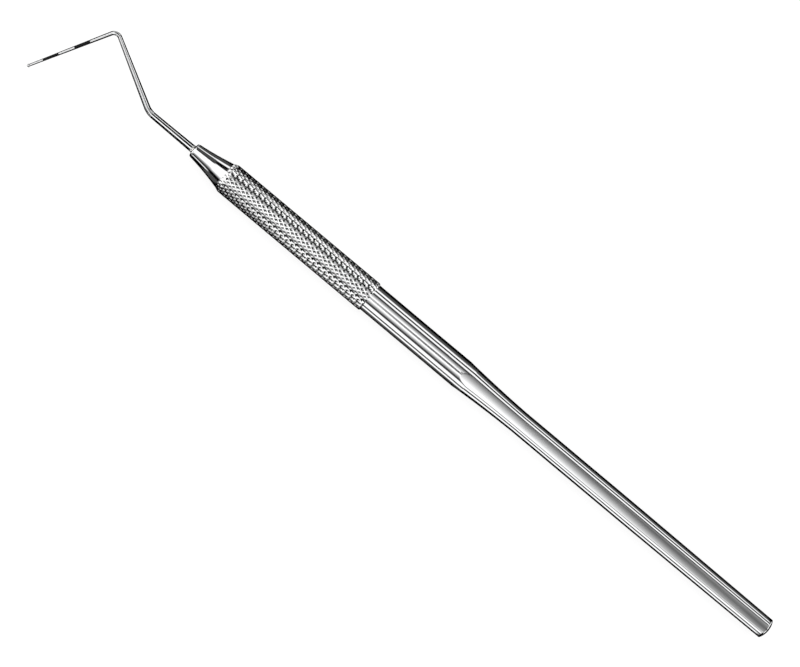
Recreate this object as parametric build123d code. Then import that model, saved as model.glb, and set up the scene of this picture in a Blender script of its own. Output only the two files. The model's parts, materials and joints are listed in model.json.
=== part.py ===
from build123d import *
import math
import os

# Ball-ended periodontal probe: a stainless handle and one bent, tapered wire with two black depth bands.
# X runs along the handle's axis towards its flat-sided tail, and the wire's bends all lie in the XY plane.
# The origin is on the axis, at the middle of the handle's plain round collar.
# A station is a distance from the handle's nose face, towards the tail. All sizes are in millimetres.

os.makedirs("parts", exist_ok=True)

# Handle: nose cone, knurled grip, plain collar, and a round tail with four flats
NOSE_R = 1.37                  # radius of the nose face, measured across its rounded rim
NOSE_RIM_R = 0.3               # rounding of that rim
CONE_END = 7.2                 # station where the polished cone meets the knurl
CONE_END_R = 2.68
CONE_FLARE_R = 51.0            # the cone's outline is hollow, with this radius
GRIP_START = 8.0               # station of the full grip radius, behind a short chamfer
GRIP_END = 40.7
GRIP_R = 3.0                   # over the crests of the knurl
GRIP_EDGE = 0.12               # chamfer on the grip's rear edge
COLLAR_R = 2.75
COLLAR_END = 63.8              # station where the bar begins to narrow to the tail
NECK_END = 75.2                # station where the narrowing ends
NECK_R = 205.0                 # the neck's outline is slightly hollow, with this radius
TAIL_TAPER_START = 102.0       # from here the tail narrows evenly to its end
HANDLE_LENGTH = 132.65
END_DOME_R = 3.8
FLATS_START = 61.85            # station where the four flats begin to cut the collar
RUN_IN_END = 62.9              # station where their short steep run-in ends
RUN_IN_R = 11.5                # the run-in is hollow, with this radius
FLATS_NECK_R = 250.0           # and so is the long run from there to the tail
RUN_IN_ACROSS_FLATS = 5.24     # across opposite flats at the end of the run-in
TAIL_ACROSS_FLATS = 4.18       # along the tail
END_ACROSS_FLATS = 3.92        # at the tail's end
FLAT_COUNT = 4
FLATS_ROLL = 2.7               # degrees about X: the flats are a little out of square with the wire's plane
ROUND_TO_FLAT = 1.0733         # the bar's diameter over its size across flats, along the tail

# Working end: one wire, brazed into the nose
TANG_R = 0.72
TANG_LENGTH = 12.0
LOWER_SHANK = 10.3             # from the nose face to the first corner
UPPER_SHANK = 15.4             # from the first corner to the second
TIP_LENGTH = 17.2              # from the second corner to the ball's end
FIRST_TURN = 28.9              # degrees, towards +Y
SECOND_TURN = 90.0             # degrees, back towards -Y
FIRST_BEND_R = 4.0             # bend radii of the wire's centre line
SECOND_BEND_R = 1.2
FIRST_BEND_WIRE_R = 0.60       # the wire's own radius at each bend
SECOND_BEND_WIRE_R = 0.40
NECK_WIRE_R = 0.23             # the wire's radius where it meets the ball
BALL_R = 0.31

# Depth bands: rings of enamel, flush in grooves, at these distances from the ball's end
BANDS = {"depth_band_3_to_6_mm": (3.0, 6.0), "depth_band_9_to_12_mm": (9.0, 12.0)}
BAND_DEPTH = 0.06

# Braze fillet round the wire at the nose face
FILLET_SIZE = 0.25

COLLAR_MIDDLE = (GRIP_END + FLATS_START) / 2
NOSE_X = -COLLAR_MIDDLE


def x_at(station):
    """The X coordinate of a station."""
    return NOSE_X + station


def turned_bar():
    """The handle as it leaves the lathe, round all along."""
    rim = RadiusArc(
        (x_at(0), NOSE_R - NOSE_RIM_R),
        (x_at(NOSE_RIM_R), NOSE_R + 0.03),
        NOSE_RIM_R,
    )
    cone = RadiusArc(rim @ 1, (x_at(CONE_END), CONE_END_R), -CONE_FLARE_R)
    grip = Polyline(
        cone @ 1,
        (x_at(GRIP_START), GRIP_R),
        (x_at(GRIP_END - GRIP_EDGE), GRIP_R),
        (x_at(GRIP_END), GRIP_R - GRIP_EDGE),
        (x_at(GRIP_END), COLLAR_R),
        (x_at(COLLAR_END), COLLAR_R),
    )
    tail_r = ROUND_TO_FLAT * TAIL_ACROSS_FLATS / 2
    end_r = ROUND_TO_FLAT * END_ACROSS_FLATS / 2
    neck = RadiusArc(grip @ 1, (x_at(NECK_END), tail_r), -NECK_R)
    dome_start = HANDLE_LENGTH - END_DOME_R + math.sqrt(END_DOME_R**2 - end_r**2)
    tail = Polyline(neck @ 1, (x_at(TAIL_TAPER_START), tail_r), (x_at(dome_start), end_r))
    dome = RadiusArc(tail @ 1, (x_at(HANDLE_LENGTH), 0), END_DOME_R)
    axis_line = Polyline(dome @ 1, (x_at(0), 0), rim @ 0)
    profile = make_face([rim, cone, grip, neck, tail, dome, axis_line])
    return revolve(profile, Axis.X)


def flat_pair():
    """The space between two opposite flats, as a slab that the bar is cut down to."""
    wide = GRIP_R + 1
    start = (x_at(FLATS_START), COLLAR_R)
    run_in = RadiusArc(start, (x_at(RUN_IN_END), RUN_IN_ACROSS_FLATS / 2), -RUN_IN_R)
    neck = RadiusArc(run_in @ 1, (x_at(NECK_END), TAIL_ACROSS_FLATS / 2), -FLATS_NECK_R)
    tail = Polyline(
        neck @ 1,
        (x_at(TAIL_TAPER_START), TAIL_ACROSS_FLATS / 2),
        (x_at(HANDLE_LENGTH), END_ACROSS_FLATS / 2),
        (x_at(HANDLE_LENGTH), 0),
    )
    front = Polyline((x_at(HANDLE_LENGTH), 0), (x_at(-1), 0), (x_at(-1), wide), (x_at(FLATS_START), wide), start)
    half = make_face([run_in, neck, tail, front])
    outline = half + mirror(half, Plane.XZ)
    return extrude(outline, wide, both=True)


def make_handle():
    """The finished bar: four flats milled along the tail, and a blind bore for the wire in the nose."""
    bar = turned_bar()
    slab = flat_pair()
    for i in range(FLAT_COUNT // 2):
        bar = bar & Rotation(FLATS_ROLL + i * 360 / FLAT_COUNT, 0, 0) * slab
    bore = Solid.make_cylinder(TANG_R, TANG_LENGTH, Plane((NOSE_X, 0, 0), z_dir=(1, 0, 0)))
    return bar - bore


def wire_path():
    """The wire's centre line from the nose face to the ball's end: straight runs joined by two arcs."""
    heading = 180.0
    corners = [Vector(NOSE_X, 0)]
    for length, turn in ((LOWER_SHANK, -FIRST_TURN), (UPPER_SHANK, SECOND_TURN), (TIP_LENGTH, 0)):
        corners.append(corners[-1] + Vector(length, 0).rotate(Axis.Z, heading))
        heading += turn
    return FilletPolyline(*corners, radius=[FIRST_BEND_R, SECOND_BEND_R])


def cone_between(start, direction, length, start_r, end_r):
    """A tapered round run of wire."""
    plane = Plane(start, z_dir=direction)
    if abs(start_r - end_r) < 1e-6:
        return Solid.make_cylinder(start_r, length, plane)
    return Solid.make_cone(start_r, end_r, length, plane)


def bend(arc, radius):
    """A bend of constant wire radius along an arc."""
    return sweep(Plane(arc @ 0, z_dir=arc % 0) * Circle(radius), path=arc)


class Tip:
    """The last straight run, measured back from the ball's end."""

    def __init__(self, run):
        self.end = run @ 1
        self.back = (run % 0) * -1
        self.length = run.length

    def radius_at(self, distance):
        """The wire's radius at a distance from the ball's end: an even taper down to the ball."""
        share = (distance - BALL_R) / (self.length - BALL_R)
        return NECK_WIRE_R + share * (SECOND_BEND_WIRE_R - NECK_WIRE_R)

    def stretch(self, near, far, inset=0.0):
        """The wire between two distances, with its radius reduced by inset."""
        return cone_between(
            self.end + self.back * near,
            self.back,
            far - near,
            self.radius_at(near) - inset,
            self.radius_at(far) - inset,
        )

    def ring(self, near, far):
        """The enamel between two distances: a thin ring, flush with the wire."""
        return self.stretch(near, far) - self.stretch(near, far, BAND_DEPTH)


def make_working_end(path, tip):
    """Tang, lower shank, bend, upper shank, bend, tip and ball, in one piece."""
    lower, first_arc, upper, second_arc, last = path.edges()
    solids = [
        cone_between(lower @ 0, (1, 0, 0), TANG_LENGTH, TANG_R, TANG_R),
        cone_between(lower @ 0, lower % 0, lower.length, TANG_R, FIRST_BEND_WIRE_R),
        bend(first_arc, FIRST_BEND_WIRE_R),
        cone_between(upper @ 0, upper % 0, upper.length, FIRST_BEND_WIRE_R, SECOND_BEND_WIRE_R),
        bend(second_arc, SECOND_BEND_WIRE_R),
        Pos(*(tip.end + tip.back * BALL_R)) * Sphere(BALL_R),
    ]
    reached = BALL_R
    for near, far in BANDS.values():
        solids.append(tip.stretch(reached, near))
        solids.append(tip.stretch(near, far, BAND_DEPTH))
        reached = far
    solids.append(tip.stretch(reached, last.length))
    return solids[0].fuse(*solids[1:])


def make_fillet(lower):
    """A small ring of filler metal, with a sloping face, in the corner between the wire and the nose face."""
    slope = (TANG_R - FIRST_BEND_WIRE_R) / lower.length
    outer = (NOSE_X, TANG_R + FILLET_SIZE)
    front = (NOSE_X - FILLET_SIZE, TANG_R - slope * FILLET_SIZE)
    section = make_face(Polyline(outer, front, (NOSE_X, TANG_R), outer))
    return revolve(section, Axis.X)


path = wire_path()
tip = Tip(path.edges()[-1])

nodes = {
    "handle": make_handle(),
    "working_end": make_working_end(path, tip),
    "braze_fillet": make_fillet(path.edges()[0]),
}
for name, (near, far) in BANDS.items():
    nodes[name] = tip.ring(near, far)

for name, shape in nodes.items():
    export_step(shape, f"parts/{name}.step")
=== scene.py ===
import json
import math

import bpy
import numpy as np
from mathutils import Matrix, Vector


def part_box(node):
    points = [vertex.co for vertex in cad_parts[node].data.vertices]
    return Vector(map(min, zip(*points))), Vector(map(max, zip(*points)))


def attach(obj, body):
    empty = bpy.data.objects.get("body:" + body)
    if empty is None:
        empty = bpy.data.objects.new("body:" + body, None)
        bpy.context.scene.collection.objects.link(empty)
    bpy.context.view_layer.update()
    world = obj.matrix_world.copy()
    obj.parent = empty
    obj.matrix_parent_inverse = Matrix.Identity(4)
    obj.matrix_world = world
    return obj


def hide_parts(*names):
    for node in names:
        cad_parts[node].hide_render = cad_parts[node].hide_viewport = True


# Looks for the periodontal probe: the knurled steel handle, the bent wire with its ball end, the two
# enamel depth bands and the braze fillet. Everything is in metres, in the frame of the CAD model:
# X along the handle towards its tail, the wire's bends in the XY plane, Z up.
# A station is a distance from the handle's nose face, towards the tail.

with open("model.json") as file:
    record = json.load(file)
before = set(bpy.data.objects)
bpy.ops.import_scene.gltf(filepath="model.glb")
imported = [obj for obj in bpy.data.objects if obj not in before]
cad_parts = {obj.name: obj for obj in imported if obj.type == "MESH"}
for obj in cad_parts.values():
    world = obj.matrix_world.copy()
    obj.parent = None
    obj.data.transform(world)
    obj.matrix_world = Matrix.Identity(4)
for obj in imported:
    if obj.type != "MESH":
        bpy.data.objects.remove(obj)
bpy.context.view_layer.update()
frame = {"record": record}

MM = 0.001
handle_low, handle_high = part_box("handle")
NOSE_X = handle_low.x
HANDLE_LENGTH = handle_high.x - handle_low.x
mounts = {m["name"]: m for m in frame["record"]["mounts"]}
GRIP_R = mounts["grip"]["dims"]["r_mm"] * MM
COLLAR_R = mounts["collar"]["dims"]["r_mm"] * MM
SMOOTH_ANGLE = math.radians(32.0)      # edges that turn by more than this stay crisp

# Nose and cone
BORE_R = 0.72 * MM
BORE_DEPTH = 12.0 * MM
NOSE_R = 1.37 * MM
NOSE_RIM_R = 0.3 * MM
CONE_END = 7.2 * MM
CONE_END_R = 2.68 * MM
CONE_FLARE_R = 51.0 * MM

# Knurled grip: a raised net of crossing helical ridges, with diamond pits between them
GRIP_START = 8.0 * MM
GRIP_END = 40.7 * MM
GRIP_EDGE = 0.12 * MM          # chamfer on the grip's rear edge
KNURL_STARTS = 23              # ridges round the grip, in each direction
KNURL_ROWS = 26                # diamonds along the grip
KNURL_DEPTH = 0.16 * MM
KNURL_CREST = 0.25             # share of the pitch that a ridge's flat crest takes,
KNURL_ROOT = 0.02              # and that the flat bottom between two ridges takes
CHAMFER_CUT = 0.6              # the pits run out across the grip's chamfers at this share of their depth
CELLS = 8                      # mesh cells along one diamond, each way
COLUMNS = KNURL_STARTS * CELLS
PIT_ATTRIBUTE = "groove"       # how far down a pit each point of the knurl lies, from 0 to 1

# Collar, neck and tail
COLLAR_WAIST = 0.02 * MM       # the collar is polished very slightly hollow
FLATS_START = 61.85 * MM
RUN_IN_END = 62.9 * MM
COLLAR_END = 63.8 * MM
NECK_END = 75.2 * MM
TAIL_TAPER_START = 102.0 * MM
HALF_FLAT_RUN_IN = 2.62 * MM   # half the size across flats at the end of the run-in
HALF_FLAT_TAIL = 2.09 * MM
HALF_FLAT_END = 1.96 * MM
RUN_IN_R = 11.5 * MM
FLATS_NECK_R = 250.0 * MM
NECK_R = 205.0 * MM
ROUND_TO_FLAT = 1.0733
FLATS_ROLL = math.radians(2.7)
FLAT_CROWN_R = 22.0 * MM       # polishing leaves the flats slightly crowned,
END_CROWN_R = 29.0 * MM        # a little less so at the tail's end,
CROWN_MIDDLE = 86.0 * MM       # their highest line wanders across them, by these amounts
CROWN_SHIFTS = (0.56 * MM, 0.30 * MM, -0.66 * MM)   # at the neck's start, this middle station and the end,
EDGE_BLEND = 0.02 * MM         # and it softens their edges
END_DOME_R = 3.8 * MM
END_EDGE_R = 0.3 * MM
END_INSET = 1.0 * MM           # the domed end grows from the tail's section this far before the end

# The mesh columns behind the grip bunch round the edges of the flats
TAIL_EDGE_ANGLE = math.radians(21.4)   # from a flat's middle to its edge, along the tail
LEAST_EDGE_ANGLE = math.radians(2.5)
EDGE_GAPS = (0.3, 0.9, 1.9)            # from the edge to the bunched columns, in even columns
BUNCHING_LENGTH = 4.0 * MM             # the columns move together over this length before the flats

# Wire
LOWER_SHANK = 10.3 * MM
UPPER_SHANK = 15.4 * MM
TIP_LENGTH = 17.2 * MM
FIRST_TURN = -28.9             # degrees
SECOND_TURN = 90.0
FIRST_BEND_R = 4.0 * MM
SECOND_BEND_R = 1.2 * MM
NOSE_WIRE_R = 0.72 * MM
FIRST_BEND_WIRE_R = 0.60 * MM
SECOND_BEND_WIRE_R = 0.39 * MM
NECK_WIRE_R = 0.23 * MM
NECK_BLEND = 0.12 * MM         # radius of the hollow between the wire and the ball
BALL_R = 0.31 * MM
TANG_CLEARANCE = 0.01 * MM
WIRE_COLUMNS = 48
BANDS = {"depth_band_3_to_6_mm": (3.0 * MM, 6.0 * MM), "depth_band_9_to_12_mm": (9.0 * MM, 12.0 * MM)}
BAND_DEPTH = 0.06 * MM
BAND_GAP = 0.006 * MM          # between the enamel and its groove
BAND_EDGE = 0.02 * MM          # rounding of the enamel's edges
BAND_PROUD = 0.004 * MM
FILLET_SIZE = 0.25 * MM
FILLET_GAP = 0.002 * MM
FILLET_COLUMNS = 96


# Mesh helpers

def make_piece(name, points, faces):
    """A smooth-shaded mesh object from points and faces, crisp along its sharp edges."""
    mesh = bpy.data.meshes.new(name)
    mesh.from_pydata(points.tolist(), [], faces)
    mesh.validate()
    mesh.shade_smooth()
    mesh.set_sharp_from_angle(angle=SMOOTH_ANGLE)
    mesh.update()
    piece = bpy.data.objects.new(name, mesh)
    bpy.context.scene.collection.objects.link(piece)
    return piece


def ring_faces(first, second, columns, diagonals=None):
    """Faces between two rings of vertices. Where diagonals are given, each cell is split along the first of
    its two diagonals if its entry is true, and along the other if it isn't."""
    faces = []
    for i in range(columns):
        j = (i + 1) % columns
        a, b, c, d = first + i, first + j, second + j, second + i
        if diagonals is None:
            faces.append((a, d, c, b))
        elif diagonals[i]:
            faces.extend([(a, d, c), (a, c, b)])
        else:
            faces.extend([(a, d, b), (d, c, b)])
    return faces


def smooth_min(a, b, blend):
    """The lower of two heights, with the crease between them rounded."""
    share = np.clip(0.5 + 0.5 * (b - a) / blend, 0.0, 1.0)
    return b + (a - b) * share - blend * share * (1.0 - share)


def arc_between(x, x0, y0, x1, y1, radius):
    """Height at x of a hollow arc of the given radius from (x0, y0) to (x1, y1)."""
    chord = math.hypot(x1 - x0, y1 - y0)
    middle = np.array([(x0 + x1) / 2, (y0 + y1) / 2])
    across = np.array([-(y1 - y0), x1 - x0]) / chord
    centre = middle + across * math.sqrt(radius**2 - chord**2 / 4)
    return centre[1] - np.sqrt(radius**2 - (x - centre[0]) ** 2)


# Handle

def knurl_depth(angle, station):
    """Depth of the knurl below its crests, where two families of helical ridges cross."""
    turn = angle * KNURL_STARTS / (2 * math.pi)
    along = (station - GRIP_START) / (GRIP_END - GRIP_START) * KNURL_ROWS
    depth = np.full(np.broadcast(turn, along).shape, KNURL_DEPTH)
    for ridge in (turn + along, turn - along):
        from_crest = np.abs(ridge - np.floor(ridge) - 0.5) * 2
        share = np.clip((from_crest - KNURL_CREST) / (1.0 - KNURL_CREST - KNURL_ROOT), 0.0, 1.0)
        depth = np.minimum(depth, share * KNURL_DEPTH)
    return depth


def tail_taper(station):
    """Half the size across flats along the tail: constant, then narrowing evenly to the end."""
    return np.interp(station, [TAIL_TAPER_START, HANDLE_LENGTH], [HALF_FLAT_TAIL, HALF_FLAT_END])


def half_flat(station):
    """Half the size across flats: a short steep run-in, a long hollow neck, then the tail's slow taper."""
    run_in = arc_between(station, FLATS_START, COLLAR_R, RUN_IN_END, HALF_FLAT_RUN_IN, RUN_IN_R)
    neck = arc_between(station, RUN_IN_END, HALF_FLAT_RUN_IN, NECK_END, HALF_FLAT_TAIL, FLATS_NECK_R)
    return np.where(station < RUN_IN_END, run_in, np.where(station < NECK_END, neck, tail_taper(station)))


def round_radius(station):
    """The turned radius behind the grip."""
    waist = COLLAR_WAIST * np.sin(math.pi * np.clip((station - GRIP_END) / (COLLAR_END - GRIP_END), 0, 1))
    neck = arc_between(station, COLLAR_END, COLLAR_R, NECK_END, ROUND_TO_FLAT * HALF_FLAT_TAIL, NECK_R)
    tail = ROUND_TO_FLAT * tail_taper(station)
    return np.where(station < COLLAR_END, COLLAR_R - waist, np.where(station < NECK_END, neck, tail))


def tail_radius(angle, station):
    """Radius of the collar and tail: the turned bar, cut by four slightly crowned flats."""
    turned = round_radius(station)
    if station <= FLATS_START:
        return turned + 0.0 * angle
    from_flat = (angle - FLATS_ROLL + math.pi / 4) % (math.pi / 2) - math.pi / 4
    height = half_flat(station)
    shift = np.interp(station, [COLLAR_END, CROWN_MIDDLE, HANDLE_LENGTH], CROWN_SHIFTS)
    crown_r = np.interp(station, [TAIL_TAPER_START, HANDLE_LENGTH], [FLAT_CROWN_R, END_CROWN_R])
    crown = (height * np.tan(from_flat) + shift) ** 2 / (2 * crown_r)
    return smooth_min((height - crown) / np.cos(from_flat), turned, EDGE_BLEND)


EVEN_ANGLES = np.arange(COLUMNS) * 2 * math.pi / COLUMNS


def gathered_angles(edge):
    """Column angles bunched round the flats' edges, which lie this angle to each side of each middle."""
    per_eighth = COLUMNS // 8
    step = math.pi / 4 / per_eighth
    inner = min(step, edge / 6)
    edge_column = round(per_eighth * TAIL_EDGE_ANGLE / (math.pi / 4))
    bunched = range(edge_column - len(EDGE_GAPS), edge_column + len(EDGE_GAPS) + 1)
    before = [edge - gap * inner for gap in reversed(EDGE_GAPS)]
    after = [edge + gap * step for gap in EDGE_GAPS]
    half = np.interp(
        np.arange(per_eighth + 1),
        [0, *bunched, per_eighth],
        [0, *before, edge, *after, math.pi / 4],
    )
    quarter = np.concatenate([half[:-1], math.pi / 2 - half[:0:-1]])
    return np.concatenate([quarter + k * math.pi / 2 for k in range(4)]) + FLATS_ROLL


def angles_at(station):
    """Column angles for a ring behind the grip."""
    if station > FLATS_START:
        edge = np.arccos(np.clip(half_flat(station) / round_radius(station), -1, 1))
        return gathered_angles(max(float(edge), LEAST_EDGE_ANGLE))
    start = FLATS_START - BUNCHING_LENGTH
    share = np.clip((station - start) / (FLATS_START - start), 0, 1)
    return EVEN_ANGLES + share * (gathered_angles(LEAST_EDGE_ANGLE) - EVEN_ANGLES)


def nose_rings():
    """(station, radius) of the rings from the bottom of the bore, over the nose face, to the cone's end."""
    rings = [(BORE_DEPTH, BORE_R * 0.5), (BORE_DEPTH, BORE_R), (0.0, BORE_R), (0.0, BORE_R + 0.2 * MM)]
    for turn in np.radians([0, 18, 36, 54, 72, 86]):
        rings.append((NOSE_RIM_R * (1 - math.cos(turn)), NOSE_R - NOSE_RIM_R + NOSE_RIM_R * math.sin(turn)))
    for station in np.linspace(rings[-1][0] + 0.12 * MM, CONE_END, 42):
        rings.append((station, arc_between(station, 0.0, NOSE_R, CONE_END, CONE_END_R, CONE_FLARE_R)))
    return rings


def knurl_rings():
    """(station, radii) of the rings across the grip's front chamfer, its knurl and its rear chamfer."""
    rings = []
    cell = (GRIP_END - GRIP_START) / (KNURL_ROWS * CELLS)
    chamfer_cells = int((GRIP_START - CONE_END) / cell)
    for k in range(-chamfer_cells, KNURL_ROWS * CELLS + 1):
        station = GRIP_START + k * cell
        front = CONE_END_R + (station - CONE_END) / (GRIP_START - CONE_END) * (GRIP_R - CONE_END_R)
        rear = GRIP_R - GRIP_EDGE + (GRIP_END - station)
        depth = knurl_depth(EVEN_ANGLES, station)
        rings.append((station, np.minimum(GRIP_R - depth, min(GRIP_R, front, rear) - CHAMFER_CUT * depth)))
    return rings


def tail_stations():
    """Stations of the rings behind the grip, closest together where the flats begin."""
    spans = (
        (GRIP_END, FLATS_START - BUNCHING_LENGTH, 8),
        (FLATS_START - 0.9 * BUNCHING_LENGTH, FLATS_START, 10),
        (FLATS_START + 0.02 * MM, RUN_IN_END, 26),
        (RUN_IN_END + 0.1 * MM, COLLAR_END, 9),
        (COLLAR_END + 0.4 * MM, NECK_END, 24),
        (NECK_END + 1.2 * MM, HANDLE_LENGTH - 2.0 * MM, 34),
    )
    return np.concatenate([np.linspace(*span) for span in spans])


def end_rings(angles):
    """(stations, radii) of the rings round the domed end's rounded edge and over the dome."""
    rings = []
    section = tail_radius(angles, HANDLE_LENGTH - END_INSET)
    reach = math.pi / 2 - math.asin(HALF_FLAT_END / END_DOME_R)
    edge_r = section - END_EDGE_R * (1 - math.cos(reach))
    dome_x = HANDLE_LENGTH - (END_DOME_R - np.sqrt(END_DOME_R**2 - edge_r**2))
    edge_x = dome_x - END_EDGE_R * math.sin(reach)
    for turn in np.linspace(0, reach, 9):
        rings.append((edge_x + END_EDGE_R * math.sin(turn), section - END_EDGE_R * (1 - math.cos(turn))))
    for share in np.linspace(1, 0, 14)[1:-1]:
        radius = edge_r * share
        rings.append((HANDLE_LENGTH - (END_DOME_R - np.sqrt(END_DOME_R**2 - radius**2)), radius))
    return rings


def handle_rings():
    """Rings of the handle's surface as (stations, radii, angles, knurled), from the bore to the domed end."""
    rings = []

    def add(station, radius, angles=EVEN_ANGLES, knurled=False):
        stations, radii = (np.broadcast_to(value, (COLUMNS,)) for value in (station, radius))
        rings.append((stations, radii, angles, knurled))

    for station, radius in nose_rings():
        add(station, radius)
    for station, radii in knurl_rings():
        add(station, radii, knurled=True)
    for station in tail_stations():
        angles = angles_at(station)
        add(station, tail_radius(angles, station), angles)
    angles = angles_at(HANDLE_LENGTH)
    for stations, radii in end_rings(angles):
        add(stations, radii, angles)
    return rings


def flatter_diagonals(first, second):
    """For each cell between two knurl rings, whether its first diagonal lies nearer the true surface."""
    stations, angles = first[0], first[2]
    a, d = GRIP_R - knurl_depth(angles, stations), GRIP_R - knurl_depth(angles, second[0])
    b, c = np.roll(a, -1), np.roll(d, -1)
    true = GRIP_R - knurl_depth(angles + math.pi / COLUMNS, (stations + second[0]) / 2)
    return np.abs((a + c) / 2 - true) < np.abs((b + d) / 2 - true)


def make_handle():
    """The handle's whole surface as one closed mesh, bore and domed end included."""
    rings = handle_rings()
    points, faces, slots, depths = [], [], [], []
    for stations, radii, angles, knurled in rings:
        points.append(np.stack([NOSE_X + stations, radii * np.cos(angles), radii * np.sin(angles)], axis=1))
        depths.append(knurl_depth(angles, stations) / KNURL_DEPTH if knurled else np.zeros(COLUMNS))
    for k, pair in enumerate(zip(rings, rings[1:])):
        knurled = [ring[3] for ring in pair]
        diagonals = flatter_diagonals(*pair) if all(knurled) else None
        new = ring_faces(k * COLUMNS, (k + 1) * COLUMNS, COLUMNS, diagonals)
        faces.extend(new)
        slots.extend([int(any(knurled))] * len(new))
    points.append(np.array([[NOSE_X + BORE_DEPTH, 0, 0], [NOSE_X + HANDLE_LENGTH, 0, 0]]))
    last = (len(rings) - 1) * COLUMNS
    bottom = last + COLUMNS
    for i in range(COLUMNS):
        j = (i + 1) % COLUMNS
        faces.append((bottom, i, j))
        faces.append((bottom + 1, last + j, last + i))
        slots.extend([0, 0])
    piece = make_piece("handle_body", np.concatenate(points), faces)
    piece.data.polygons.foreach_set("material_index", slots)
    attribute = piece.data.attributes.new(PIT_ATTRIBUTE, "FLOAT", "POINT")
    attribute.data.foreach_set("value", np.concatenate([*depths, [0.0, 0.0]]))
    return piece


# Wire

def wire_corners():
    """The corners of the wire's centre line, from the nose face to the ball's end."""
    heading = 180.0
    corners = [np.array([NOSE_X, 0.0])]
    for length, turn in ((LOWER_SHANK, FIRST_TURN), (UPPER_SHANK, SECOND_TURN), (TIP_LENGTH, 0.0)):
        step = np.array([math.cos(math.radians(heading)), math.sin(math.radians(heading))])
        corners.append(corners[-1] + length * step)
        heading += turn
    return corners


class Centreline:
    """The wire's centre line as straight runs and two arcs, read by distance from the nose face."""

    def __init__(self):
        corners = wire_corners()
        self.spans = []
        self.length = 0.0
        self.bend_middles = []
        position = corners[0]
        heading = math.pi
        turns = ((FIRST_TURN, FIRST_BEND_R), (SECOND_TURN, SECOND_BEND_R), (0.0, 0.0))
        for corner, (turn, radius) in zip(corners[1:], turns):
            cut = radius * math.tan(math.radians(abs(turn)) / 2)
            run = np.linalg.norm(corner - position) - cut
            self.add(run, position, heading, 0.0)
            position = position + run * np.array([math.cos(heading), math.sin(heading)])
            if turn:
                arc = radius * math.radians(abs(turn))
                self.bend_middles.append(self.length + arc / 2)
                self.add(arc, position, heading, math.copysign(1 / radius, turn))
                position = self.at(self.length)[0]
                heading += math.radians(turn)

    def add(self, length, position, heading, curvature):
        """Adds a straight run or an arc."""
        self.spans.append((self.length, length, position, heading, curvature))
        self.length += length

    def at(self, distance):
        """Position and heading at a distance from the nose face; before it, straight on into the handle."""
        for start, length, position, heading, curvature in self.spans:
            if distance <= start + length + 1e-12:
                break
        along = distance - start
        if curvature == 0.0:
            return position + along * np.array([math.cos(heading), math.sin(heading)]), heading
        turned = heading + curvature * along
        offset = np.array([math.sin(turned) - math.sin(heading), math.cos(heading) - math.cos(turned)])
        return position + offset / curvature, turned


line = Centreline()
BALL_CENTRE = line.length - BALL_R


def wire_radius(distance):
    """The wire's radius: an even taper between the nose, the two bends and the ball's neck."""
    return np.interp(
        distance,
        [0.0, *line.bend_middles, BALL_CENTRE],
        [NOSE_WIRE_R, FIRST_BEND_WIRE_R, SECOND_BEND_WIRE_R, NECK_WIRE_R],
    )


def swept_piece(name, profile, closed=False):
    """A tube of (distance, radius) rings along the centre line, capped at its ends or closed on itself."""
    angles = np.arange(WIRE_COLUMNS) * 2 * math.pi / WIRE_COLUMNS
    points, faces = [], []
    for distance, radius in profile:
        centre, heading = line.at(distance)
        side = radius * np.cos(angles)
        x = centre[0] - math.sin(heading) * side
        y = centre[1] + math.cos(heading) * side
        points.append(np.stack([x, y, radius * np.sin(angles)], axis=1))
    count = len(profile)
    for k in range(count if closed else count - 1):
        faces.extend(ring_faces(((k + 1) % count) * WIRE_COLUMNS, k * WIRE_COLUMNS, WIRE_COLUMNS))
    if not closed:
        faces.append(tuple(range(WIRE_COLUMNS)))
        faces.append(tuple(reversed(range((count - 1) * WIRE_COLUMNS, count * WIRE_COLUMNS))))
    return make_piece(name, np.concatenate(points), faces)


def wire_profile():
    """Distances and radii along the wire: tang, shanks, grooves for the bands, neck and ball."""
    neck = BALL_CENTRE - math.sqrt((BALL_R + NECK_BLEND) ** 2 - (NECK_WIRE_R + NECK_BLEND) ** 2)
    grooves = [(line.length - far, line.length - near) for near, far in BANDS.values()]
    clear = 0.03 * MM
    plain = set(np.round(np.linspace(0.0, neck, 90), 9))
    for start, length, *_, curvature in line.spans:
        if curvature:
            plain.update(np.round(np.linspace(start, start + length, 18), 9))

    profile = [
        (-BORE_DEPTH + 0.05 * MM, NOSE_WIRE_R - 0.15 * MM),
        (-BORE_DEPTH + 0.2 * MM, NOSE_WIRE_R - TANG_CLEARANCE),
        (-0.02 * MM, NOSE_WIRE_R - TANG_CLEARANCE),
    ]
    for distance in plain:
        if not any(start - clear < distance < end + clear for start, end in grooves):
            profile.append((distance, wire_radius(distance)))
    for start, end in grooves:
        for distance, sink in ((start, 0.0), (start, BAND_DEPTH), (end, BAND_DEPTH), (end, 0.0)):
            profile.append((distance, wire_radius(distance) - sink))
    profile.sort(key=lambda point: point[0])      # a stable sort, so the grooves' walls keep their order

    turn_end = math.atan2(BALL_CENTRE - neck, NECK_WIRE_R + NECK_BLEND)
    for turn in np.linspace(0.25, 1.0, 5) * turn_end:
        distance = neck + NECK_BLEND * math.sin(turn)
        profile.append((distance, NECK_WIRE_R + NECK_BLEND * (1 - math.cos(turn))))
    ball_start = math.atan2(NECK_WIRE_R + NECK_BLEND, BALL_CENTRE - neck)
    for polar in np.linspace(ball_start, math.pi, 22)[1:-1]:
        profile.append((BALL_CENTRE - BALL_R * math.cos(polar), BALL_R * math.sin(polar)))
    profile.append((line.length, 0.012 * MM))
    return profile


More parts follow.
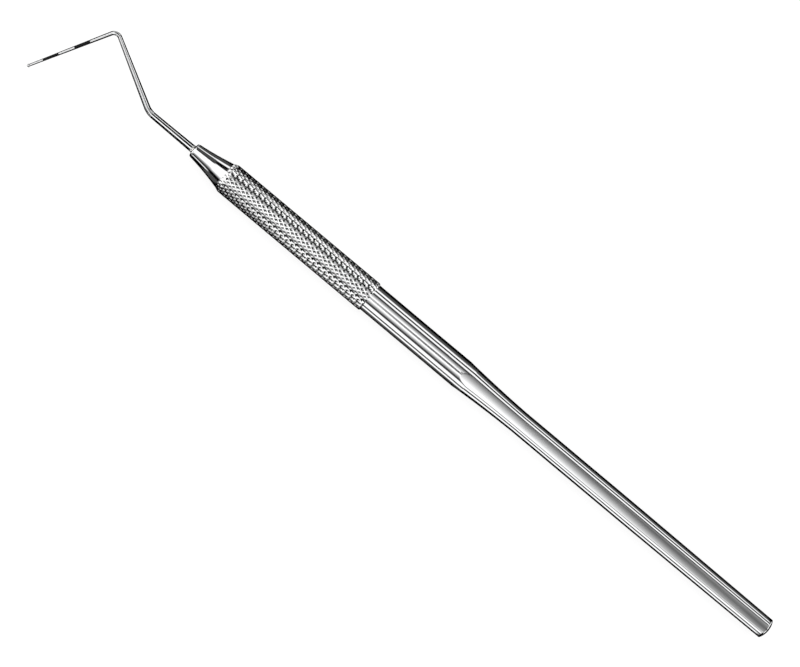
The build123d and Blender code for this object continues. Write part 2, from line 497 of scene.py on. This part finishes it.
def make_band(name, near, far):
    """An enamel ring that fills its groove, with softly rounded edges just proud of the wire."""
    start, end = line.length - far, line.length - near
    rise = BAND_EDGE * 0.3
    wall = (
        (BAND_GAP, BAND_GAP - BAND_DEPTH),
        (BAND_GAP, -BAND_EDGE),
        (BAND_GAP + rise, BAND_PROUD - rise),
        (BAND_GAP + BAND_EDGE, BAND_PROUD),
    )
    face = np.linspace(start + 0.1 * MM, end - 0.1 * MM, 14)
    profile = [(start + inward, wire_radius(start) + height) for inward, height in wall]
    profile += [(distance, wire_radius(distance) + BAND_PROUD) for distance in face]
    profile += [(end - inward, wire_radius(end) + height) for inward, height in reversed(wall)]
    return swept_piece(name, profile, closed=True)


def make_fillet():
    """A ring of braze with a hollow face, slightly uneven round the wire as a hand-made joint is."""
    angles = np.arange(FILLET_COLUMNS) * 2 * math.pi / FILLET_COLUMNS
    uneven = 1.0 - 0.05 * (1 + np.sin(3 * angles + 0.7)) - 0.03 * (1 + np.sin(7 * angles + 2.1))
    leg = FILLET_SIZE - 0.01 * MM
    rings = []
    for turn in np.linspace(0, math.pi / 2, 9):
        forward = leg * (1 - math.cos(turn)) * uneven
        outward = leg * (1 - math.sin(turn)) * uneven
        rings.append((FILLET_GAP + forward, NOSE_WIRE_R + FILLET_GAP + outward))
    rings.append((FILLET_GAP + 0 * uneven, NOSE_WIRE_R - 2 * FILLET_GAP + 0 * uneven))
    points = [np.stack([NOSE_X - f, r * np.cos(angles), r * np.sin(angles)], axis=1) for f, r in rings]
    faces = []
    for k in range(len(rings)):
        following = (k + 1) % len(rings)
        faces.extend(ring_faces(following * FILLET_COLUMNS, k * FILLET_COLUMNS, FILLET_COLUMNS))
    return make_piece("braze_ring", np.concatenate(points), faces)


# Shader nodes

class Nodes:
    """A small helper that adds and links shader nodes. Values are sockets, numbers or colours."""

    def __init__(self, tree):
        self.tree = tree
        tree.nodes.clear()

    def add(self, kind, **values):
        node = self.tree.nodes.new(kind)
        for key, value in values.items():
            setattr(node, key, value)
        return node

    def link(self, source, target):
        self.tree.links.new(source, target)

    def fill(self, sockets, values):
        """Sets each socket to its number or colour, or links its value to it."""
        for socket, value in zip(sockets, values):
            if isinstance(value, (int, float)):
                socket.default_value = value
            elif isinstance(value, tuple):
                socket.default_value = (*value, 1.0)
            elif value is not None:
                self.link(value, socket)

    def fill_named(self, node, **values):
        """Fills a node's sockets by name, with _ for each space."""
        self.fill([node.inputs[name.replace("_", " ")] for name in values], values.values())

    def math(self, operation, first, second=None, clamp=False):
        node = self.add("ShaderNodeMath", operation=operation, use_clamp=clamp)
        self.fill(node.inputs, (first, second))
        return node.outputs[0]

    def split(self, vector):
        node = self.add("ShaderNodeSeparateXYZ")
        self.link(vector, node.inputs[0])
        return node.outputs

    def combine(self, x, y, z):
        node = self.add("ShaderNodeCombineXYZ")
        self.fill(node.inputs, (x, y, z))
        return node.outputs[0]

    def map_range(self, value, low, high, to_low, to_high, smooth=False):
        node = self.add("ShaderNodeMapRange", clamp=True)
        node.interpolation_type = "SMOOTHSTEP" if smooth else "LINEAR"
        self.fill_named(node, Value=value, From_Min=low, From_Max=high, To_Min=to_low, To_Max=to_high)
        return node.outputs["Result"]

    def noise(self, vector, scale, detail=3.0):
        node = self.add("ShaderNodeTexNoise")
        self.fill_named(node, Vector=vector, Scale=scale, Detail=detail, Roughness=0.55)
        return node.outputs["Fac"]

    def mix(self, share, first, second, kind="RGBA"):
        """Passes from first to second as share goes from 0 to 1."""
        node = self.add("ShaderNodeMix", data_type=kind)
        socket_type = {"RGBA": "RGBA", "FLOAT": "VALUE"}[kind]
        ends = [s for s in node.inputs if s.type == socket_type and s.name in ("A", "B")]
        self.fill([node.inputs[0], *ends], (share, first, second))
        return [s for s in node.outputs if s.type == socket_type][0]

    def bump(self, height, distance, strength):
        node = self.add("ShaderNodeBump")
        self.fill_named(node, Height=height, Distance=distance, Strength=strength)
        return node.outputs["Normal"]


# Materials

def new_material(name, **constants):
    """A material with one shader and these constants on it, and the place of a point in the frame."""
    material = bpy.data.materials.new(name)
    material.use_nodes = True
    nodes = Nodes(material.node_tree)
    shader = nodes.add("ShaderNodeBsdfPrincipled")
    output = nodes.add("ShaderNodeOutputMaterial")
    nodes.link(shader.outputs["BSDF"], output.inputs["Surface"])
    nodes.fill_named(shader, **constants)
    place = nodes.add("ShaderNodeTexCoord").outputs["Object"]
    return material, nodes, shader, place


def polished_steel():
    """Mirror-polished stainless steel: lathe marks on the cone and collar, belt marks along the tail."""
    material, nodes, shader, place = new_material("polished_steel", Metallic=1.0)
    x, y, z = nodes.split(place)
    angle = nodes.math("ARCTAN2", z, y)
    lathe_place = nodes.combine(nodes.math("MULTIPLY", x, 9000.0), nodes.math("MULTIPLY", angle, 0.8), 0.0)
    belt_place = nodes.combine(
        nodes.math("MULTIPLY", x, 90.0),
        nodes.math("MULTIPLY", y, 7000.0),
        nodes.math("MULTIPLY", z, 7000.0),
    )
    tail_start = NOSE_X + FLATS_START - 0.5 * MM
    on_tail = nodes.map_range(x, tail_start, NOSE_X + COLLAR_END, 0.0, 1.0, smooth=True)
    marks = nodes.mix(on_tail, nodes.noise(lathe_place, 1.0), nodes.noise(belt_place, 1.0), kind="FLOAT")
    cloud = nodes.noise(place, 180.0, detail=4.0)
    smear = nodes.math("MULTIPLY", cloud, marks)
    nodes.fill_named(
        shader,
        Base_Color=nodes.mix(cloud, (0.72, 0.73, 0.74), (0.79, 0.79, 0.79)),
        Roughness=nodes.map_range(smear, 0.12, 0.42, 0.045, 0.10),
        Normal=nodes.bump(marks, 0.0006 * MM, 0.25),
    )
    return material


def knurled_steel():
    """The same steel in the knurl: bright rubbed crests, and slightly duller steel down in the pits."""
    material, nodes, shader, place = new_material("knurled_steel", Metallic=1.0)
    grain = nodes.noise(place, 5200.0, detail=2.0)
    pit = nodes.add("ShaderNodeAttribute", attribute_name=PIT_ATTRIBUTE).outputs["Fac"]
    uneven = nodes.math("MULTIPLY", nodes.math("SUBTRACT", grain, 0.5), 0.5)
    dull = nodes.math("ADD", pit, uneven, clamp=True)
    nodes.fill_named(
        shader,
        Base_Color=nodes.mix(dull, (0.80, 0.80, 0.80), (0.58, 0.58, 0.59)),
        Roughness=nodes.map_range(dull, 0.0, 1.0, 0.05, 0.14),
        Normal=nodes.bump(grain, 0.001 * MM, 0.3),
    )
    return material


def wire_steel():
    """Drawn and polished stainless wire, slightly clouded and finely grained."""
    material, nodes, shader, place = new_material("wire_steel", Metallic=1.0)
    fine = nodes.noise(place, 9000.0, detail=2.0)
    cloud = nodes.noise(place, 400.0)
    nodes.fill_named(
        shader,
        Base_Color=nodes.mix(cloud, (0.71, 0.72, 0.73), (0.79, 0.79, 0.79)),
        Roughness=nodes.map_range(cloud, 0.3, 0.7, 0.05, 0.12),
        Normal=nodes.bump(fine, 0.0005 * MM, 0.25),
    )
    return material


def braze_metal():
    """Silver braze: a little warmer and duller than the steel, with a cast, slightly lumpy face."""
    material, nodes, shader, place = new_material("braze_metal", Metallic=1.0)
    lumps = nodes.noise(place, 6000.0, detail=4.0)
    nodes.fill_named(
        shader,
        Base_Color=nodes.mix(lumps, (0.80, 0.77, 0.71), (0.90, 0.88, 0.84)),
        Roughness=nodes.map_range(lumps, 0.3, 0.7, 0.12, 0.28),
        Normal=nodes.bump(lumps, 0.006 * MM, 0.4),
    )
    return material


def black_enamel():
    """Baked black fill, satin, with small bright specks where instruments rub it."""
    material, nodes, shader, place = new_material("black_enamel", Specular_IOR_Level=0.2)
    grain = nodes.noise(place, 11000.0)
    specks = nodes.map_range(nodes.noise(place, 16000.0, detail=1.0), 0.70, 0.76, 0.0, 1.0)
    nodes.fill_named(
        shader,
        Base_Color=nodes.mix(specks, (0.003, 0.003, 0.0035), (0.03, 0.03, 0.032)),
        Roughness=nodes.map_range(grain, 0.3, 0.7, 0.32, 0.5),
        Normal=nodes.bump(grain, 0.003 * MM, 0.3),
    )
    return material


def pale_floor():
    """Pale card that glows a little, so that the floor reads white with only a faint shadow."""
    material, nodes, shader, place = new_material(
        "pale_floor",
        Roughness=0.9,
        Specular_IOR_Level=0.1,
        Emission_Color=(1.0, 1.0, 1.0),
        Emission_Strength=0.84,
    )
    paper = nodes.noise(place, 60.0, detail=4.0)
    nodes.fill_named(shader, Base_Color=nodes.mix(paper, (0.19, 0.19, 0.19), (0.21, 0.21, 0.21)))
    return material


# Pieces

def fit_out():
    """Makes every piece, gives it its material, attaches it to the root body and hides the CAD part that it
    stands for.
    """
    handle = make_handle()
    handle.data.materials.append(polished_steel())
    handle.data.materials.append(knurled_steel())
    wire = swept_piece("wire_body", wire_profile())
    wire.data.materials.append(wire_steel())
    braze = make_fillet()
    braze.data.materials.append(braze_metal())
    stands_for = [
        (handle, "handle", "handle_steel"),
        (wire, "working_end", "wire_steel"),
        (braze, "braze_fillet", "braze"),
    ]
    enamel = black_enamel()
    for node, (near, far) in BANDS.items():
        band = make_band(node.replace("depth_band", "enamel_ring"), near, far)
        band.data.materials.append(enamel)
        stands_for.append((band, node, "band_enamel"))
    for piece, node, slot_name in stands_for:
        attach(piece, "root")
        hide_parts(node)


# Studio

DEGREE = 180 / math.pi         # degrees in a radian

# The light tent as polished metal sees it. A direction in the tent is named by how the metal has to face
# to mirror it straight up: its roll is twice that slope about the handle's axis, with positive angles
# towards +Y, and its lean is twice the slope along the axis, with positive angles towards the tail.
# Each list gives brightness against roll, in degrees: white cloth is parted by dark seams, and below the
# horizon it is dark. There is one list for each zone of leans.
TENT_COLLAR = [
    (-180, 0.0), (-140, 0.0), (-132, 0.08), (-112, 0.11), (-105, 1.4), (-93, 1.4), (-90, 0.0), (-80, 0.0),
    (-77, 1.4), (-56, 1.4), (-50, 0.03), (-43, 0.03), (-39, 0.12), (-33, 0.4), (-25, 0.9), (-16, 1.5),
    (10, 1.5), (17, 1.05), (23, 0.6), (29, 0.37), (35, 0.1), (37, 0.03), (43, 0.03), (48, 1.3), (58, 1.4),
    (61, 0.0), (71, 0.0), (74, 1.4), (85, 1.4), (91, 0.12), (116, 0.07), (122, 0.0),
]
TENT_TAIL = [
    (-180, 0.0), (-107, 0.0), (-102, 1.4), (-88, 1.4), (-85, 0.0), (-75, 0.0), (-72, 1.4), (-56, 1.4),
    (-50, 0.03), (-43, 0.03), (-39, 0.12), (-33, 0.4), (-25, 0.9), (-16, 1.5), (4.5, 1.5), (6.5, 0.0),
    (35, 0.0), (43, 0.03), (48, 1.3), (58, 1.4), (60.5, 0.0), (71.5, 0.0), (74, 1.4), (80, 1.4),
    (85, 0.13), (103, 0.1), (107, 0.0),
]
TENT_WIRE = [
    (-180, 0.0), (-44, 0.0), (-42, 1.9), (-11, 1.9), (-8, 0.0), (48, 0.0), (50, 2.4), (63, 2.4), (65, 0.0),
]
TENT_SHANK = [
    (-180, 0.0), (-55, 0.0), (-51, 1.5), (4, 1.5), (6.5, 0.0), (35, 0.0), (37, 1.6), (55, 1.6), (57, 0.0),
]
TENT_PITS_FRONT = [
    (-180, 0.0), (-92, 0.0), (-84, 0.6), (-70, 0.6), (-60, 0.2), (-50, 0.9), (-40, 1.5), (-33, 0.8),
    (-24, 0.6), (-16, 1.2), (-4, 1.6), (12, 2.2), (36, 2.2), (46, 1.0), (56, 0.1), (66, 0.1), (72, 0.6),
    (84, 0.6), (92, 0.0),
]
TENT_PITS_REAR = [
    (-180, 0.0), (-52, 0.0), (-46, 0.3), (-38, 0.0), (6, 0.0), (16, 0.6), (38, 0.6), (48, 0.0),
]
TENT_FRONT = [
    (-180, 0.0), (-88, 0.0), (-84, 0.05), (-81, 1.4), (-74, 1.4), (-70, 0.05), (-52, 0.04), (-44, 0.25),
    (-30, 0.8), (-23, 1.5), (21, 1.5), (26, 0.0), (33, 0.02), (40, 0.08), (66, 0.08), (70, 0.1), (72, 1.4),
    (80, 1.4), (83, 0.08), (118, 0.08), (126, 0.0),
]
TENT_MOUTH = [
    (-180, 0.0), (-124, 0.0), (-118, 0.09), (-78, 0.09), (-73, 0.0), (-53, 0.0), (-47, 0.3), (-34, 1.2),
    (-27, 1.5), (29, 1.5), (34, 0.3), (37, 0.0), (64, 0.0), (68, 1.3), (82, 1.4), (87, 0.09), (124, 0.07),
    (130, 0.0),
]

# The zones after the collar's. Each takes over from those before it between two leans, in degrees.
TAIL_LEANS = (1.3, 1.8)
TENT_ZONES = (
    (TENT_TAIL, *TAIL_LEANS),
    (TENT_SHANK, 10.0, 13.0),
    (TENT_PITS_REAR, 27.0, 29.5),
    (TENT_WIRE, -2.6, -3.8),
    (TENT_FRONT, -9.0, -13.0),
    (TENT_MOUTH, -25.8, -26.8),
    (TENT_PITS_FRONT, -32.5, -33.5),
)

# Patches of the tent. Each is bounded by soft edges: a measure of direction, its value outside the edge
# and its value inside, in degrees. Black cloths hang beside the wire's shanks and beside its tip. White
# cards stand at the tail, before the nose and before the grip's front chamfer.
BLACK_CLOTHS = (
    (("lean", -36.8, -38.5), ("from_zenith", 59.0, 64.0)),
    (("lean", 26.0, 29.0), ("from_zenith", 59.0, 64.0)),
    (("lean", -37.5, -39.5), ("off_tip_side", 16.0, 12.0)),
    (("lean", 33.0, 35.5), ("off_tip_side", 16.0, 12.0)),
)
WHITE_CARDS = (
    (
        ("heading", -18.0, -15.0), ("heading", 50.0, 46.0),
        ("from_zenith", 70.0, 78.0), ("from_zenith", 134.0, 129.0),
    ),
    (
        ("around", 166.0, 169.0), ("around", 224.0, 220.0),
        ("from_zenith", 50.0, 56.0), ("from_zenith", 106.0, 102.0),
    ),
    (
        ("around", 110.0, 113.0), ("around", 236.0, 232.0),
        ("lean", -41.5, -43.5), ("lean", -52.0, -50.0),
    ),
)
WHITE = 1.5                    # brightness of the tent's white parts

# The tent's opening overhead, in degrees of roll
OPENING_ROLL = -2.4            # its middle
SLOT_EDGES = (5.4, 8.4)        # from its middle to where the black slot ends and where the white begins
TROUGH_TONE = 0.376            # tone in the grey trough's middle,
TROUGH_RISES = (0.060, 0.0753)         # and its rise for each degree towards +Y and away from it
TROUGH_GAMMA = 2.2
TROUGH_GAIN = 1.34
SECOND_BOUNCE = 0.05           # light left for reflections of reflections, which keeps the pits deep


def tent_ramp(nodes, roll, stops):
    """The brightness of one zone of the tent at a roll."""
    ramp = nodes.add("ShaderNodeValToRGB")
    ramp.color_ramp.interpolation = "LINEAR"
    elements = ramp.color_ramp.elements
    while len(elements) > 1:
        elements.remove(elements[-1])
    elements[0].position = 0.0
    elements[0].color = (stops[0][1],) * 3 + (1.0,)
    for degrees, value in stops[1:]:
        element = elements.new((degrees + 180) / 360)
        element.color = (value, value, value, 1.0)
    nodes.link(nodes.map_range(roll, -180.0, 180.0, 0.0, 1.0), ramp.inputs["Fac"])
    return ramp.outputs["Color"]


def cover(nodes, measures, patches):
    """1 inside any of the patches of the tent and 0 outside them all."""
    covered = 0.0
    for edges in patches:
        inside = 1.0
        for name, outside_value, inside_value in edges:
            edge = nodes.map_range(measures[name], outside_value, inside_value, 0.0, 1.0, smooth=True)
            inside = nodes.math("MULTIPLY", inside, edge)
        covered = nodes.math("MAXIMUM", covered, inside)
    return covered


def ceiling_brightness(nodes, roll, lean):
    """The opening overhead: a narrow black slot above the collar, and a soft grey trough above the tail."""
    away = nodes.math("SUBTRACT", roll, OPENING_ROLL)
    slot = nodes.map_range(nodes.math("ABSOLUTE", away), *SLOT_EDGES, 0.0, WHITE, smooth=True)
    front_strength = nodes.map_range(lean, -0.6, 0.35, 0.35, 1.0)
    fade_in = nodes.map_range(lean, -2.2, -1.2, 0.0, 1.0, smooth=True)
    strength = nodes.math("MULTIPLY", front_strength, fade_in)
    lost = nodes.math("MULTIPLY", nodes.math("SUBTRACT", WHITE, slot), strength)
    slot = nodes.math("SUBTRACT", WHITE, lost)

    tone = TROUGH_TONE
    for side, rise in zip((1.0, -1.0), TROUGH_RISES):
        distance = nodes.math("MAXIMUM", nodes.math("MULTIPLY", away, side), 0.0)
        tone = nodes.math("ADD", tone, nodes.math("MULTIPLY", distance, rise))
    trough = nodes.math("MULTIPLY", nodes.math("POWER", tone, TROUGH_GAMMA), TROUGH_GAIN)

    over_tail = nodes.map_range(lean, *TAIL_LEANS, 0.0, 1.0, smooth=True)
    return nodes.mix(over_tail, slot, trough, kind="FLOAT")


def tent_measures(nodes):
    """The angles, in degrees, that say where a direction points in the tent."""
    x, y, z = nodes.split(nodes.add("ShaderNodeTexCoord").outputs["Generated"])
    up = nodes.math("MAXIMUM", nodes.math("ADD", z, 1.0), 0.0001)
    half_x = nodes.math("DIVIDE", x, nodes.math("SQRT", nodes.math("MULTIPLY", up, 2.0)))
    heading = nodes.math("MULTIPLY", nodes.math("ARCTAN2", y, x), DEGREE)
    folded = nodes.math("FLOORED_MODULO", nodes.math("ADD", heading, 90.0 - FIRST_TURN), 180.0)
    return {
        "roll": nodes.math("MULTIPLY", nodes.math("ARCTAN2", y, up), 2 * DEGREE),
        "lean": nodes.math("MULTIPLY", nodes.math("ARCSINE", half_x), 2 * DEGREE),
        "from_zenith": nodes.math("MULTIPLY", nodes.math("ARCCOSINE", z), DEGREE),
        "heading": heading,
        "around": nodes.math("FLOORED_MODULO", heading, 360.0),
        "off_tip_side": nodes.math("ABSOLUTE", nodes.math("SUBTRACT", folded, 90.0)),
    }


def tent_colour(nodes):
    """The light tent: its zones, then the black cloths, the white cards and the opening overhead."""
    measures = tent_measures(nodes)
    roll, lean = measures["roll"], measures["lean"]
    tent = tent_ramp(nodes, roll, TENT_COLLAR)
    for stops, start, end in TENT_ZONES:
        share = nodes.map_range(lean, start, end, 0.0, 1.0, smooth=True)
        tent = nodes.mix(share, tent, tent_ramp(nodes, roll, stops))
    tent = nodes.mix(cover(nodes, measures, BLACK_CLOTHS), tent, (0.0, 0.0, 0.0))
    tent = nodes.mix(cover(nodes, measures, WHITE_CARDS), tent, (WHITE, WHITE, WHITE))
    ceiling = nodes.add("ShaderNodeVectorMath", operation="MINIMUM")
    nodes.fill(ceiling.inputs, (tent, ceiling_brightness(nodes, roll, lean)))
    return ceiling.outputs[0]


def make_world():
    """A white light tent. Polished metal sees its seams and its opening; all else sees plain white."""
    world = bpy.data.worlds.new("light_tent")
    bpy.context.scene.world = world
    world.use_nodes = True
    nodes = Nodes(world.node_tree)
    light_path = nodes.add("ShaderNodeLightPath")
    tent = nodes.add("ShaderNodeBackground")
    strength = nodes.map_range(light_path.outputs["Ray Depth"], 2.0, 3.0, 1.0, SECOND_BOUNCE)
    nodes.fill_named(tent, Color=tent_colour(nodes), Strength=strength)
    plain = nodes.add("ShaderNodeBackground")
    nodes.fill_named(plain, Color=(1.0, 1.0, 1.0))
    mix = nodes.add("ShaderNodeMixShader")
    nodes.fill(mix.inputs, (light_path.outputs["Is Glossy Ray"], plain.outputs[0], tent.outputs[0]))
    output = nodes.add("ShaderNodeOutputWorld")
    nodes.link(mix.outputs[0], output.inputs["Surface"])


def make_floor():
    """A plain pale floor that the grip rests on."""
    size = 3.0
    points = np.array([[-size, -size, 0], [size, -size, 0], [size, size, 0], [-size, size, 0]], float)
    floor = make_piece("floor", points, [(0, 1, 2, 3)])
    floor.location.z = -GRIP_R
    floor.data.materials.append(pale_floor())
    floor.visible_glossy = False


def make_softbox():
    """A large soft light overhead, for the faint shadow on the floor."""
    light = bpy.data.lights.new("softbox", "AREA")
    light.shape = "RECTANGLE"
    light.size = 0.6
    light.size_y = 0.4
    light.energy = 1.5
    softbox = bpy.data.objects.new("softbox", light)
    softbox.location = (0.1, 0.25, 0.6)
    softbox.rotation_euler = (-0.4, 0.15, 0.0)
    softbox.visible_glossy = False
    bpy.context.scene.collection.objects.link(softbox)


def make_camera():
    """Straight above the probe and turned so that it lies across the frame, seen through a long lens."""
    turn = math.radians(39.95)
    view_width = 141.6 * MM
    aim = (NOSE_X + 48.9 * MM, -1.51 * MM)
    camera_data = bpy.data.cameras.new("camera")
    camera_data.sensor_width = 36.0
    camera_data.lens = 200.0
    camera = bpy.data.objects.new("camera", camera_data)
    camera.location = (*aim, view_width * camera_data.lens / camera_data.sensor_width)
    camera.rotation_euler = (0.0, 0.0, turn)
    bpy.context.scene.collection.objects.link(camera)
    bpy.context.scene.camera = camera


fit_out()
make_world()
make_floor()
make_softbox()
make_camera()
bpy.context.scene.view_settings.view_transform = "Standard"
